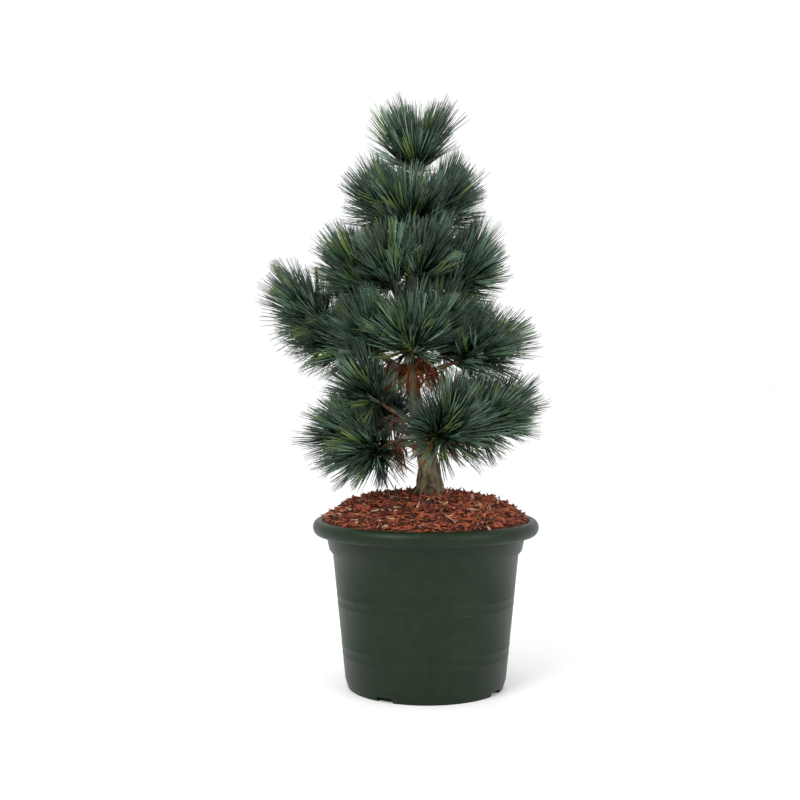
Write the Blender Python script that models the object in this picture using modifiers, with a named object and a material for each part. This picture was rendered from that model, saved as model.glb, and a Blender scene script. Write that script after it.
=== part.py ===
"""A young Swiss stone pine in a ten-litre nursery pot, at its real size.

The pot stands on its flat underside with the origin at the middle of it, +Z up. The side seen in the
photograph looks along -Y, so +X is on its right. The trunk rises from the mound of bark mulch, and
each whorl of boughs carries masses of needles: shoots with a slim core that needles stand out of.
"""

import math
import random
from dataclasses import dataclass

import bmesh
import bpy
import numpy as np
from mathutils import Vector

MM = 0.001
GAP = 0.3 * MM

# Pot: the inner surface and the outside of the rolled lip are one line, and the wall grows outwards from it.
POT_WALL = 2.4 * MM
POT_STEPS = 28
FOOT_RADIUS = 107.0 * MM
HEEL_RADIUS = 110.8 * MM
HEEL_HEIGHT = 12.0 * MM
WALL_TOP_RADIUS = 127.6 * MM
WALL_TOP = 183.0 * MM
COLLAR_LOW_RADIUS = 132.6 * MM
COLLAR_LOW = 189.0 * MM
COLLAR_TOP_RADIUS = 136.6 * MM
COLLAR_TOP = 208.0 * MM
LIP_RADIUS = 155.0 * MM
LIP_TOP = 230.0 * MM
LIP_HALF_WIDTH = 8.6 * MM
LIP_HALF_HEIGHT = 10.4 * MM
LIP_CURL_END = -58
LIP_POINTS = 10
NOTCH_AZIMUTHS = (239, 329, 59, 149)
NOTCH_WIDTH = 24.0 * MM
NOTCH_HEIGHT = 6.0 * MM

# Mulch: it fills the pot and heaps up to the foot of the trunk.
SOIL_TOP = 262.0 * MM
SOIL_SEAT_RADIUS = 30.0 * MM
SOIL_STEEPNESS = 2.7
SOIL_RINGS = 5
SOIL_LIP_POINTS = 3

# Trunk: height above the mulch, sideways lean in x and y, and radius, from the cut foot to the tip.
TRUNK_STATIONS = (
    (0.000, 0.0055, 0.0000, 0.0235),
    (0.010, 0.0055, 0.0000, 0.0190),
    (0.032, 0.0045, -0.0005, 0.0155),
    (0.060, 0.0010, -0.0015, 0.0130),
    (0.100, -0.0080, -0.0020, 0.0105),
    (0.150, -0.0180, 0.0000, 0.0090),
    (0.240, -0.0235, 0.0030, 0.0072),
    (0.340, -0.0190, 0.0010, 0.0055),
    (0.425, -0.0150, -0.0010, 0.0042),
)
TRUNK_POINTS = 14
TRUNK_RESOLUTION = 3

# Surface root: an arch beside the foot of the trunk, on the near side.
ROOT_SPAN = 34.0 * MM
ROOT_RISE = 14.0 * MM
ROOT_RADIUS = 3.0 * MM
ROOT_POINTS = 9

# Limbs and shoots: each mass has a leading shoot on its stem, and side shoots that fork off it.
LIMB_BASE_RADIUS = 4.4 * MM
LIMB_TIP_RADIUS = 3.0 * MM
LIMB_POINTS = 3
SHOOT_TIP_RADIUS = 2.8 * MM
SHOOT_LIFT = 18
SIDE_SHOOT_LENGTH = 38.0 * MM
SIDE_SHOOT_RADIUS = 4.0 * MM

# Needles: a three-sided blade with a narrow neck, widest a third of the way out, each for a sheaf.
NEEDLE_LENGTH = 72.0 * MM
NEEDLE_NECK = 1.2 * MM
NEEDLE_WIDTH = 9.0 * MM
NEEDLE_THICKNESS = 2.2 * MM
NEEDLE_WIDEST = 0.36
NEEDLE_SPACING = 8.0 * MM
NEEDLE_ANGLE_BASE = 64
NEEDLE_ANGLE_TIP = 12
NEEDLE_JITTER = 9
NEEDLE_UPTURN = 0.12
NEEDLE_TRIES = (1.0, 0.84, 0.7)
NEEDLE_CLEARANCE = 0.4 * MM
NEEDLE_FREE_ROOT = 0.08
NEEDLE_BITE = 0.8
GOLDEN_ANGLE = math.radians(137.508)
SEED = 4
MASS_CLEARANCE = 0.6 * MM
LIMB_CLEARANCE = 0.8 * MM
SOIL_CLEARANCE = 4.0 * MM


@dataclass(frozen=True)
class Bough:
    """One bough of a whorl, with lengths in metres and angles in degrees.

    azimuth runs from +X, the right, towards +Y, the back. pitch is the climb where the bough leaves the
    trunk, and lift is how far it turns up along its limb. A limb of 0 is a mass that grows on the trunk.
    sides holds (share, turn, climb) of each side shoot: how far up the leading shoot it forks off, and
    its direction against the mass's own. spread widens or narrows the fan of the needles.
    """

    name: str
    height: float
    azimuth: float
    pitch: float
    limb: float
    lift: float
    stem: float
    shoot: float
    sides: tuple = ()
    spread: float = 1.0


BOUGHS = (
    Bough("low_right", 0.078, 352, 8, 0.042, 8, 0.010, 0.040, ((0.1, 20, 40), (0.3, -34, -20), (0.6, 34, 0))),
    Bough("low_front_right", 0.076, 292, 4, 0.030, 4, 0.010, 0.034,
          ((0.1, 52, -6), (0.3, -50, -8), (0.6, 6, 44))),
    Bough("low_front_left", 0.082, 216, -2, 0.040, -14, 0.010, 0.038, ((0.1, -26, -16), (0.3, 36, -10))),
    Bough("low_left", 0.068, 188, 4, 0.044, 4, 0.010, 0.036, ((0.1, 16, 34), (0.3, -30, 4), (0.6, 30, -18))),
    Bough("low_left_up", 0.096, 204, 20, 0.040, 12, 0.010, 0.038, ((0.1, -36, 4), (0.4, 40, 8))),
    Bough("low_back_right", 0.076, 50, 4, 0.044, 6, 0.010, 0.040,
          ((0.1, 38, 8), (0.3, -38, -8), (0.6, 6, 36))),
    Bough("low_back_left", 0.080, 126, 4, 0.044, 6, 0.010, 0.040,
          ((0.1, 38, -8), (0.3, -38, 8), (0.6, 6, 36))),
    Bough("far_left", 0.158, 181, 14, 0.060, 20, 0.012, 0.112,
          ((0.1, 16, -30), (0.35, -26, -30), (0.6, 40, -22))),
    Bough("mid_left", 0.166, 212, 22, 0.036, 14, 0.010, 0.036, ((0.1, -36, 10), (0.4, 36, 10))),
    Bough("mid_front", 0.166, 270, 24, 0.028, 16, 0.010, 0.038, ((0.1, 56, 2), (0.3, -56, -4), (0.6, 0, 34))),
    Bough("mid_right", 0.166, 350, 10, 0.042, 8, 0.010, 0.044,
          ((0.1, 26, 26), (0.3, -28, -18), (0.6, 14, -10))),
    Bough("mid_right_up", 0.176, 322, 36, 0.028, 14, 0.010, 0.036, ((0.1, 34, -2), (0.4, -30, 6))),
    Bough("mid_back_right", 0.170, 44, 12, 0.042, 10, 0.010, 0.040,
          ((0.1, 36, 6), (0.3, -36, 0), (0.6, 4, 36))),
    Bough("mid_back", 0.178, 94, 14, 0.042, 10, 0.010, 0.040, ((0.1, 34, 4), (0.3, -34, 4), (0.6, 2, 36))),
    Bough("mid_back_left", 0.172, 138, 12, 0.042, 10, 0.010, 0.040,
          ((0.1, 34, 2), (0.3, -34, 4), (0.6, 2, 36))),
    Bough("high_left", 0.250, 184, 22, 0.032, 12, 0.010, 0.040,
          ((0.1, 20, -28), (0.3, -30, 18), (0.6, 34, 4))),
    Bough("high_front_left", 0.254, 240, 30, 0.024, 14, 0.010, 0.038, ((0.1, -36, 4), (0.4, 32, 10))),
    Bough("high_front", 0.260, 290, 30, 0.024, 14, 0.010, 0.038, ((0.1, -34, 10), (0.4, 36, 2))),
    Bough("high_right", 0.250, 354, 20, 0.036, 12, 0.010, 0.046,
          ((0.1, 26, 6), (0.3, -30, -16), (0.6, 4, 30))),
    Bough("high_back_right", 0.256, 56, 24, 0.032, 12, 0.010, 0.040, ((0.1, 38, 6), (0.4, -34, 0))),
    Bough("high_back_left", 0.260, 124, 24, 0.032, 12, 0.010, 0.040, ((0.1, 38, 2), (0.4, -34, 6))),
    Bough("top_left", 0.348, 182, 44, 0.0, 0, 0.026, 0.038, ((0.1, 30, -14), (0.4, -34, 16))),
    Bough("top_front", 0.338, 262, 46, 0.0, 0, 0.022, 0.044, ((0.1, 50, -8), (0.4, -46, 4))),
    Bough("top_right", 0.350, 2, 42, 0.0, 0, 0.030, 0.038, ((0.1, -34, -10), (0.4, 30, 18))),
    Bough("top_back_right", 0.352, 62, 42, 0.0, 0, 0.022, 0.038, ((0.1, 34, -8),)),
    Bough("top_back_left", 0.346, 122, 42, 0.0, 0, 0.022, 0.038, ((0.1, -34, -8),)),
)
LEADER_SIDES = ((0.1, 90, -40), (0.2, 210, -40), (0.3, 330, -40))
LEADER = Bough("leader", 0.425, 0, 89, 0.0, 0, 0.010, 0.046, LEADER_SIDES, 0.72)


def clear_scene():
    """Removes what the file opened with."""
    for leftover in list(bpy.data.objects):
        bpy.data.objects.remove(leftover)


def new_collection(name):
    """A collection linked to the scene."""
    made = bpy.data.collections.new(name)
    bpy.context.scene.collection.children.link(made)
    return made


def new_material(name, colour, roughness, metallic=0.0):
    """A Principled material with plain values."""
    made = bpy.data.materials.new(name)
    made.use_nodes = True
    shader = made.node_tree.nodes["Principled BSDF"]
    shader.inputs["Base Color"].default_value = (*colour, 1.0)
    shader.inputs["Roughness"].default_value = roughness
    shader.inputs["Metallic"].default_value = metallic
    return made


def new_object(name, mesh, home, material=None):
    """An object for the mesh, in the collection home."""
    made = bpy.data.objects.new(name, mesh)
    home.objects.link(made)
    if material is not None:
        mesh.materials.clear()
        mesh.materials.append(material)
    return made


def new_helper(name, mesh, home):
    """A cutter or guide, which the render leaves out."""
    made = new_object(name, mesh, home)
    made.hide_render = True
    made.display_type = "WIRE"
    return made


def heading(azimuth, pitch):
    """The unit vector at an azimuth and a climb, in degrees."""
    turn = math.radians(azimuth)
    climb = math.radians(pitch)
    return Vector((math.cos(turn) * math.cos(climb), math.sin(turn) * math.cos(climb), math.sin(climb)))


def rising_line(start, azimuth, pitch, length, lift, count):
    """Points of a line that turns up evenly by lift degrees over its length."""
    points = [start.copy()]
    step = length / (count - 1)
    for index in range(count - 1):
        share = (index + 0.5) / (count - 1)
        points.append(points[-1] + heading(azimuth, pitch + lift * share) * step)
    return points


def smooth_value(stations, column, height):
    """A value of the stations at a height, on a smooth line through them."""
    last = len(stations) - 2
    index = max(k for k in range(last + 1) if stations[k][0] <= height or k == 0)
    low, high = stations[index], stations[index + 1]
    before, after = stations[max(index - 1, 0)], stations[min(index + 2, last + 1)]
    span = high[0] - low[0]
    share = min(max((height - low[0]) / span, 0.0), 1.0)
    slope_low = (high[column] - before[column]) / (high[0] - before[0]) * span
    slope_high = (after[column] - low[column]) / (after[0] - low[0]) * span
    square, cube = share * share, share * share * share
    return (
        (2 * cube - 3 * square + 1) * low[column]
        + (cube - 2 * square + share) * slope_low
        + (3 * square - 2 * cube) * high[column]
        + (cube - square) * slope_high
    )


def trunk_point(height):
    """The middle of the trunk at a height above the mulch."""
    side = smooth_value(TRUNK_STATIONS, 1, height)
    depth = smooth_value(TRUNK_STATIONS, 2, height)
    return Vector((side, depth, SOIL_TOP + GAP + height))


def trunk_radius(height):
    """The trunk's radius at a height above the mulch."""
    return smooth_value(TRUNK_STATIONS, 3, height)


def tube_mesh(points, radii, resolution):
    """A tube along points with a radius at each, as a closed mesh."""
    curve = bpy.data.curves.new("limb_line", "CURVE")
    curve.dimensions = "3D"
    curve.bevel_depth = 1.0
    curve.bevel_resolution = resolution
    curve.use_fill_caps = True
    spline = curve.splines.new("POLY")
    spline.points.add(len(points) - 1)
    for spot, place, radius in zip(spline.points, points, radii):
        spot.co = (*place, 1.0)
        spot.radius = radius
    holder = bpy.data.objects.new("limb_line", curve)
    bpy.context.scene.collection.objects.link(holder)
    bpy.context.view_layer.update()
    mesh = bpy.data.meshes.new_from_object(holder.evaluated_get(bpy.context.evaluated_depsgraph_get()))
    bpy.data.objects.remove(holder)
    bpy.data.curves.remove(curve)
    shape = bmesh.new()
    shape.from_mesh(mesh)
    bmesh.ops.remove_doubles(shape, verts=shape.verts, dist=0.01 * MM)
    bmesh.ops.recalc_face_normals(shape, faces=shape.faces)
    shape.to_mesh(mesh)
    shape.free()
    mesh.shade_smooth()
    mesh.set_sharp_from_angle(angle=math.radians(50))
    return mesh


def tapered_mesh(low, high, radius_low, radius_high):
    """A straight three-sided twig."""
    along = high - low
    shape = bmesh.new()
    bmesh.ops.create_cone(
        shape, cap_ends=True, segments=3, radius1=radius_low, radius2=radius_high, depth=along.length
    )
    bmesh.ops.rotate(shape, verts=shape.verts, matrix=along.to_track_quat("Z", "Y").to_matrix())
    bmesh.ops.translate(shape, verts=shape.verts, vec=low + along / 2)
    mesh = bpy.data.meshes.new("twig")
    shape.to_mesh(mesh)
    shape.free()
    return mesh


def needle_mesh(root, tip, along):
    """A flat three-sided blade, its width in the plane of the shoot that runs along."""
    length = (tip - root).length
    aim = (tip - root) / length
    width = (along - aim * along.dot(aim)).normalized()
    face = aim.cross(width)
    shape = bmesh.new()
    bmesh.ops.create_cone(shape, cap_ends=True, segments=3, radius1=1.0, radius2=1.0, depth=1.0)
    top = max(shape.faces, key=lambda side: side.calc_center_median().z)
    point = bmesh.ops.poke(shape, faces=[top])["verts"][0]
    for vertex in shape.verts:
        across, deep, level = vertex.co
        wide, thick, out = NEEDLE_NECK, NEEDLE_NECK, 0.0
        if level > 0:
            wide, thick, out = NEEDLE_WIDTH, NEEDLE_THICKNESS, NEEDLE_WIDEST
        if vertex is point:
            out = 1.0
        side = width * across * wide / math.sqrt(3) + face * deep * thick / 1.5
        vertex.co = root + side + aim * length * out
    bmesh.ops.recalc_face_normals(shape, faces=shape.faces)
    mesh = bpy.data.meshes.new("needle")
    shape.to_mesh(mesh)
    shape.free()
    return mesh


def needle_half_width(share):
    """Half a needle's width at a share of its length."""
    if share < NEEDLE_WIDEST:
        return 0.5 * (NEEDLE_NECK + (NEEDLE_WIDTH - NEEDLE_NECK) * share / NEEDLE_WIDEST)
    return 0.5 * NEEDLE_WIDTH * (1 - share) / (1 - NEEDLE_WIDEST)


def apply_modifiers(thing):
    """Bakes an object's modifiers into its mesh."""
    bpy.context.view_layer.update()
    before = thing.data
    evaluated = thing.evaluated_get(bpy.context.evaluated_depsgraph_get())
    thing.data = bpy.data.meshes.new_from_object(evaluated)
    thing.data.name = thing.name
    thing.modifiers.clear()
    bpy.data.meshes.remove(before)


def add_boolean(thing, operation, cutter=None, collection=None, solver="EXACT"):
    """A Boolean modifier against one object or a whole collection."""
    cut = thing.modifiers.new(operation.lower(), "BOOLEAN")
    cut.operation = operation
    cut.solver = solver
    if collection is None:
        cut.object = cutter
    else:
        cut.operand_type = "COLLECTION"
        cut.collection = collection
    return cut


def keep_largest_piece(thing):
    """Drops loose scraps that a union leaves."""
    shape = bmesh.new()
    shape.from_mesh(thing.data)
    islands = []
    waiting = set(shape.verts)
    while waiting:
        island = set()
        front = [waiting.pop()]
        while front:
            vertex = front.pop()
            island.add(vertex)
            for edge in vertex.link_edges:
                other = edge.other_vert(vertex)
                if other in waiting:
                    waiting.remove(other)
                    front.append(other)
        islands.append(island)
    islands.sort(key=len)
    for island in islands[:-1]:
        bmesh.ops.delete(shape, geom=list(island), context="VERTS")
    shape.to_mesh(thing.data)
    shape.free()


def turned_object(name, profile, home, material):
    """A profile in the XZ plane, turned round the Z axis."""
    mesh = bpy.data.meshes.new(name)
    edges = [(index, index + 1) for index in range(len(profile) - 1)]
    mesh.from_pydata([(radius, 0.0, height) for radius, height in profile], edges, [])
    made = new_object(name, mesh, home, material)
    screw = made.modifiers.new("turn", "SCREW")
    screw.axis = "Z"
    screw.steps = screw.render_steps = POT_STEPS
    screw.use_merge_vertices = True
    screw.merge_threshold = 0.05 * MM
    screw.use_smooth_shade = True
    return made


def lip_arc(proud=0.0):
    """The outside of the rolled lip, from its inner edge over the top to the end of the curl."""
    wide = LIP_HALF_WIDTH + proud
    tall = LIP_HALF_HEIGHT + proud
    middle = (LIP_RADIUS - LIP_HALF_WIDTH, LIP_TOP - LIP_HALF_HEIGHT)
    points = []
    for index in range(LIP_POINTS):
        angle = math.radians(180 + (LIP_CURL_END - 180) * index / (LIP_POINTS - 1))
        points.append((middle[0] + wide * math.cos(angle), middle[1] + tall * math.sin(angle)))
    return points


def inner_wall():
    """The pot's inner surface, from the edge of its floor up to the top of the collar."""
    return [
        (FOOT_RADIUS - POT_WALL, POT_WALL),
        (HEEL_RADIUS - POT_WALL, HEEL_HEIGHT),
        (WALL_TOP_RADIUS - POT_WALL, WALL_TOP),
        (COLLAR_LOW_RADIUS - POT_WALL, COLLAR_LOW),
        (COLLAR_TOP_RADIUS - POT_WALL, COLLAR_TOP),
    ]


def build_pot(home, cutters, material):
    """The pot: a turned shell with a rolled lip and four drainage notches in its foot."""
    profile = [(0.0, POT_WALL), *inner_wall(), *lip_arc()]
    profile.reverse()
    pot = turned_object("pot", profile, home, material)
    wall = pot.modifiers.new("wall", "SOLIDIFY")
    wall.thickness = POT_WALL
    wall.offset = 1.0
    wall.use_even_offset = True
    reach = HEEL_RADIUS - FOOT_RADIUS + 3 * POT_WALL
    for index, azimuth in enumerate(NOTCH_AZIMUTHS):
        shape = bmesh.new()
        bmesh.ops.create_cube(shape, size=1.0)
        bmesh.ops.scale(shape, verts=shape.verts, vec=(2 * reach, NOTCH_WIDTH, 2 * NOTCH_HEIGHT))
        mesh = bpy.data.meshes.new("notch")
        shape.to_mesh(mesh)
        shape.free()
        notch = new_helper(f"notch_{index + 1}", mesh, cutters)
        notch.location = heading(azimuth, 0) * FOOT_RADIUS
        notch.rotation_euler = (0.0, 0.0, math.radians(azimuth))
        add_boolean(pot, "DIFFERENCE", notch)
    return pot


def soil_profile():
    """The mulch from its flat seat at the trunk, out over the mound and down the pot's wall."""
    inside = [(radius - GAP, height) for radius, height in inner_wall()]
    inside[0] = (inside[0][0] - GAP, POT_WALL + GAP)
    lip = lip_arc(2 * GAP)[:SOIL_LIP_POINTS]
    edge = lip.pop()
    points = [(0.0, SOIL_TOP), (SOIL_SEAT_RADIUS, SOIL_TOP)]
    for index in range(1, SOIL_RINGS):
        share = index / SOIL_RINGS
        radius = SOIL_SEAT_RADIUS + (edge[0] - SOIL_SEAT_RADIUS) * share
        points.append((radius, edge[1] + (SOIL_TOP - edge[1]) * (1 - share**SOIL_STEEPNESS)))
    points += [edge, *reversed(lip), *reversed(inside), (0.0, POT_WALL + GAP)]
    return points


def build_trunk(home, cutters, material):
    """Builds the trunk, and returns a slightly fatter copy that cuts the boughs clear of it."""
    heights = [TRUNK_STATIONS[-1][0] * (index / (TRUNK_POINTS - 1)) ** 1.4 for index in range(TRUNK_POINTS)]
    points = [trunk_point(height) for height in heights]
    radii = [trunk_radius(height) for height in heights]
    points[1].xy = points[0].xy
    new_object("trunk", tube_mesh(points, radii, TRUNK_RESOLUTION), home, material)
    wider = [radius + GAP for radius in radii]
    return new_helper("trunk_clearance", tube_mesh(points, wider, TRUNK_RESOLUTION), cutters)


def build_root(home, material):
    """The surface root, an arch whose ends stand on the mulch against the trunk's foot."""
    middle = trunk_point(0.0) + Vector((0.0, -(TRUNK_STATIONS[0][3] + ROOT_RADIUS + 2 * GAP), 0.0))
    points = []
    for index in range(ROOT_POINTS):
        angle = math.pi * index / (ROOT_POINTS - 1)
        swing = 0.5 * (ROOT_SPAN - 2 * ROOT_RADIUS)
        points.append(middle + Vector((-swing * math.cos(angle), 0.0, ROOT_RISE * math.sin(angle))))
    dip = ROOT_RADIUS * math.sin(0.5 * math.pi / (ROOT_POINTS - 1))
    for point in points:
        point.z += dip
    return new_object("surface_root", tube_mesh(points, [ROOT_RADIUS] * ROOT_POINTS, 1), home, material)


def limb_line(bough):
    """The limb's points and radii, from the middle of the trunk to its tip."""
    start = trunk_point(bough.height)
    length = trunk_radius(bough.height) + bough.limb
    points = rising_line(start, bough.azimuth, bough.pitch, length, bough.lift, LIMB_POINTS)
    shares = [index / (LIMB_POINTS - 1) for index in range(LIMB_POINTS)]
    radii = [LIMB_BASE_RADIUS + (LIMB_TIP_RADIUS - LIMB_BASE_RADIUS) * share for share in shares]
    return points, radii


def mass_lines(bough):
    """The stem with its leading shoot, then each side shoot, each as (points, radii)."""
    pitch = bough.pitch + bough.lift
    start = trunk_point(bough.height)
    if bough.limb:
        tip = limb_line(bough)[0]
        along = (tip[-1] - tip[-2]).normalized()
        start = tip[-1] + along * GAP
    elif bough.name == "leader":
        start += Vector((0.0, 0.0, GAP))
    stem = rising_line(start, bough.azimuth, pitch, bough.stem, 0, 2)
    lead = rising_line(stem[-1], bough.azimuth, pitch, bough.shoot, SHOOT_LIFT, 3)
    lines = [([*stem, *lead[1:]], [LIMB_TIP_RADIUS, LIMB_TIP_RADIUS, LIMB_TIP_RADIUS, SHOOT_TIP_RADIUS])]
    for share, turn, climb in bough.sides:
        place = share * 2
        fork = lead[int(place)].lerp(lead[int(place) + 1], place - int(place))
        length = min(bough.shoot, SIDE_SHOOT_LENGTH)
        side = rising_line(fork, bough.azimuth + turn, pitch + climb + 0.5 * SHOOT_LIFT, length, 0, 2)
        lines.append((side, [SIDE_SHOOT_RADIUS, SHOOT_TIP_RADIUS]))
    return lines


class Spaces:
    """The space of each mass: what lies nearer to its own shoots than to any other mass, clear of limbs."""

    def __init__(self, masses, limbs):
        starts, ends, owners = [], [], []
        for name, lines in masses.items():
            for points, _radii in lines:
                for low, high in zip(points, points[1:]):
                    starts.append(low)
                    ends.append(high)
                    owners.append(name)
        self.shoots = (np.array(starts), np.array(ends))
        self.owners = np.array(owners)
        starts, ends, thick = [], [], []
        for points, radii in limbs:
            for low, high, radius in zip(points, points[1:], radii):
                starts.append(low)
                ends.append(high)
                thick.append(radius)
        self.limbs = (np.array(starts), np.array(ends))
        self.thick = np.array(thick)

    @staticmethod
    def distances(segments, point):
        """How far a point lies from each segment."""
        starts, ends = segments
        along = ends - starts
        offset = point - starts
        share = np.clip((offset * along).sum(1) / (along * along).sum(1), 0.0, 1.0)
        return np.linalg.norm(offset - along * share[:, None], axis=1)

    def holds(self, name, root, tip, samples=8):
        """True if a needle from root to tip stays in the mass's space."""
        low, high = np.array(root), np.array(tip)
        for index in range(samples):
            share = (index + 1) / samples
            point = low + (high - low) * share
            thick = needle_half_width(share)
            if (self.distances(self.limbs, point) < self.thick + thick + LIMB_CLEARANCE).any():
                return False
            apart = self.distances(self.shoots, point)
            own = apart[self.owners == name].min()
            others = apart[self.owners != name].min()
            if others - own < 2 * thick + MASS_CLEARANCE:
                return False
        return True


def closest_shares(low, high, other_low, other_high):
    """How far along each of two lines they come closest, as shares of their lengths."""
    one, two, offset = high - low, other_high - other_low, low - other_low
    own, cross, far = one.dot(one), one.dot(two), two.dot(two)
    spread = own * far - cross * cross
    share = 0.0
    if spread > 1e-12:
        share = min(max((cross * two.dot(offset) - far * one.dot(offset)) / spread, 0.0), 1.0)
    other = (cross * share + two.dot(offset)) / far
    if 0.0 <= other <= 1.0:
        return share, other
    other = min(max(other, 0.0), 1.0)
    return min(max((cross * other - one.dot(offset)) / own, 0.0), 1.0), other


def clear_of_needles(root, tip, placed):
    """True if a needle passes the placed ones without touching, past their sunk roots."""
    for other_root, other_tip, _along in placed:
        share, other = closest_shares(root, tip, other_root, other_tip)
        if max(share, other) < NEEDLE_FREE_ROOT:
            continue
        apart = (root.lerp(tip, share) - other_root.lerp(other_tip, other)).length
        if apart < NEEDLE_BITE * (needle_half_width(share) + needle_half_width(other)) + NEEDLE_CLEARANCE:
            return False
    return True


def shoot_needles(name, points, rng, spaces, placed, spread=1.0):
    """Places needles up a shoot, by a golden spiral that closes in towards its end."""
    length = sum((high - low).length for low, high in zip(points, points[1:]))
    count = max(round(length / NEEDLE_SPACING), 2)
    turn = rng.uniform(0, 2 * math.pi)
    for index in range(count + 1):
        share = index / count
        place = share * (len(points) - 1)
        step = min(int(place), len(points) - 2)
        along = (points[step + 1] - points[step]).normalized()
        across = along.orthogonal().normalized()
        spin = turn + index * GOLDEN_ANGLE
        side = across * math.cos(spin) + along.cross(across) * math.sin(spin)
        angle = NEEDLE_ANGLE_BASE + (NEEDLE_ANGLE_TIP - NEEDLE_ANGLE_BASE) * share
        lean = math.radians(spread * (angle + rng.uniform(-NEEDLE_JITTER, NEEDLE_JITTER)))
        aim = (along * math.cos(lean) + side * math.sin(lean) + Vector((0, 0, NEEDLE_UPTURN))).normalized()
        root = points[step].lerp(points[step + 1], place - step)
        reach = NEEDLE_LENGTH * rng.uniform(0.88, 1.06)
        for share_of_length in NEEDLE_TRIES:
            tip = root + aim * reach * share_of_length
            clear = tip.z > SOIL_TOP + SOIL_CLEARANCE and clear_of_needles(root, tip, placed)
            if clear and spaces.holds(name, root, tip):
                placed.append((root, tip, along))
                break


def mass_needles(bough, lines, spaces):
    """(root, tip, along) of every needle of a mass, on the leading shoot and on each side shoot."""
    rng = random.Random(f"{bough.name} {SEED}")
    placed = []
    name = f"foliage_{bough.name}"
    shoots = [lines[0][0][1:], *[points for points, _radii in lines[1:]]]
    for points in shoots:
        shoot_needles(name, points, rng, spaces, placed, bough.spread)
    return placed


def build_mass(bough, lines, spaces, home, material, trunk_cutter=None):
    """One mass of needles: its stem, shoots and needles joined into one solid."""
    name = f"foliage_{bough.name}"
    loose = new_collection("loose_pieces")
    mass = new_object(name, tube_mesh(*lines[0], 0), home, material)
    if trunk_cutter is not None:
        add_boolean(mass, "DIFFERENCE", trunk_cutter)
        apply_modifiers(mass)
    for points, radii in lines[1:]:
        new_object("twig", tapered_mesh(points[0], points[-1], *radii), loose)
    for root, tip, along in mass_needles(bough, lines, spaces):
        new_object("needle", needle_mesh(root, tip, along), loose)
    add_boolean(mass, "UNION", collection=loose, solver="MANIFOLD")
    apply_modifiers(mass)
    for piece in list(loose.objects):
        mesh = piece.data
        bpy.data.objects.remove(piece)
        bpy.data.meshes.remove(mesh)
    bpy.data.collections.remove(loose)
    keep_largest_piece(mass)
    mass.data.materials.clear()
    mass.data.materials.append(material)
    return mass


def main():
    """Builds the pot, the mulch, the trunk, the boughs and the masses of needles."""
    clear_scene()
    plant = new_collection("swiss_stone_pine")
    cutters = new_collection("cutters")
    plastic = new_material("pot_green", (0.022, 0.042, 0.021), 0.42)
    mulch = new_material("bark_mulch", (0.16, 0.055, 0.028), 0.9)
    bark = new_material("grey_brown_bark", (0.12, 0.10, 0.06), 0.85)
    foliage = new_material("blue_green_needles", (0.035, 0.08, 0.05), 0.5)
    build_pot(plant, cutters, plastic)
    turned_object("soil", soil_profile(), plant, mulch)
    trunk_cutter = build_trunk(plant, cutters, bark)
    build_root(plant, bark)
    heights = [TRUNK_STATIONS[-1][0] * index / (TRUNK_POINTS - 1) for index in range(TRUNK_POINTS)]
    limbs = [([trunk_point(height) for height in heights], [trunk_radius(height) for height in heights])]
    masses = {}
    for bough in (*BOUGHS, LEADER):
        masses[f"foliage_{bough.name}"] = mass_lines(bough)
        if bough.limb:
            limbs.append(limb_line(bough))
            points, radii = limbs[-1]
            limb = new_object(f"bough_{bough.name}", tube_mesh(points, radii, 1), plant, bark)
            add_boolean(limb, "DIFFERENCE", trunk_cutter)
    spaces = Spaces(masses, limbs)
    for bough in (*BOUGHS, LEADER):
        name = f"foliage_{bough.name}"
        cutter = None if bough.limb or bough is LEADER else trunk_cutter
        build_mass(bough, masses[name], spaces, plant, foliage, cutter)


if __name__ == "__main__":
    main()
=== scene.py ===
"""Looks of a young Swiss stone pine in its nursery pot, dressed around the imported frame.

The growth rule is the one that shaped the solids: whorls of boughs off a leaning trunk, each with a
leading shoot and side shoots. Here it carries on to sheaves of five needles.
"""

import logging
import math
import random
from dataclasses import dataclass, field
from enum import Enum, IntEnum
from typing import Iterable, NamedTuple

import bmesh
import bpy
import numpy as np
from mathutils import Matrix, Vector, noise


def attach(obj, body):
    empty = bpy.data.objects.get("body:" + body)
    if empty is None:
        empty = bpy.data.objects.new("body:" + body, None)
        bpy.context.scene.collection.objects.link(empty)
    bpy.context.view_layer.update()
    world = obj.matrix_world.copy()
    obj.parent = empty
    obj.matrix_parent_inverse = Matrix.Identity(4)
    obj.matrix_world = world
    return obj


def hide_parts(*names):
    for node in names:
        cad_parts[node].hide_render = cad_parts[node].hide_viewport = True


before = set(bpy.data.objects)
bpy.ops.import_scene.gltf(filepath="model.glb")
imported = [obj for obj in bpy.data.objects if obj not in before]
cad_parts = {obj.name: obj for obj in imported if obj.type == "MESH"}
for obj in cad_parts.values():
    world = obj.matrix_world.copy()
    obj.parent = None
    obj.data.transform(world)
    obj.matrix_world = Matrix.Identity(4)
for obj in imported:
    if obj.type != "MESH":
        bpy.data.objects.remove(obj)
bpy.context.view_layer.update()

LOG = logging.getLogger("swiss_stone_pine")
MM = 0.001
GAP = 0.3 * MM
SEED = 4
GOLDEN_ANGLE = math.radians(137.508)
SOIL_TOP = 262.0 * MM
SHOOT_LIFT = 18
LONGEST_SIDE_SHOOT = 38.0 * MM
BARK_STRETCH = 0.35
Polyline = list[Vector]


class Tint(Enum):
    """The plain colours that are dealt out to the sheaves of needles."""

    DEEP = "#16291a"
    BLUE = "#2b4533"
    GREY = "#5f7c66"
    FRESH = "#5f7638"
    RUST = "#8a4a26"


class Station(IntEnum):
    """The columns of a station of the trunk."""

    HEIGHT = 0
    LEAN_X = 1
    LEAN_Y = 2
    RADIUS = 3


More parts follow.
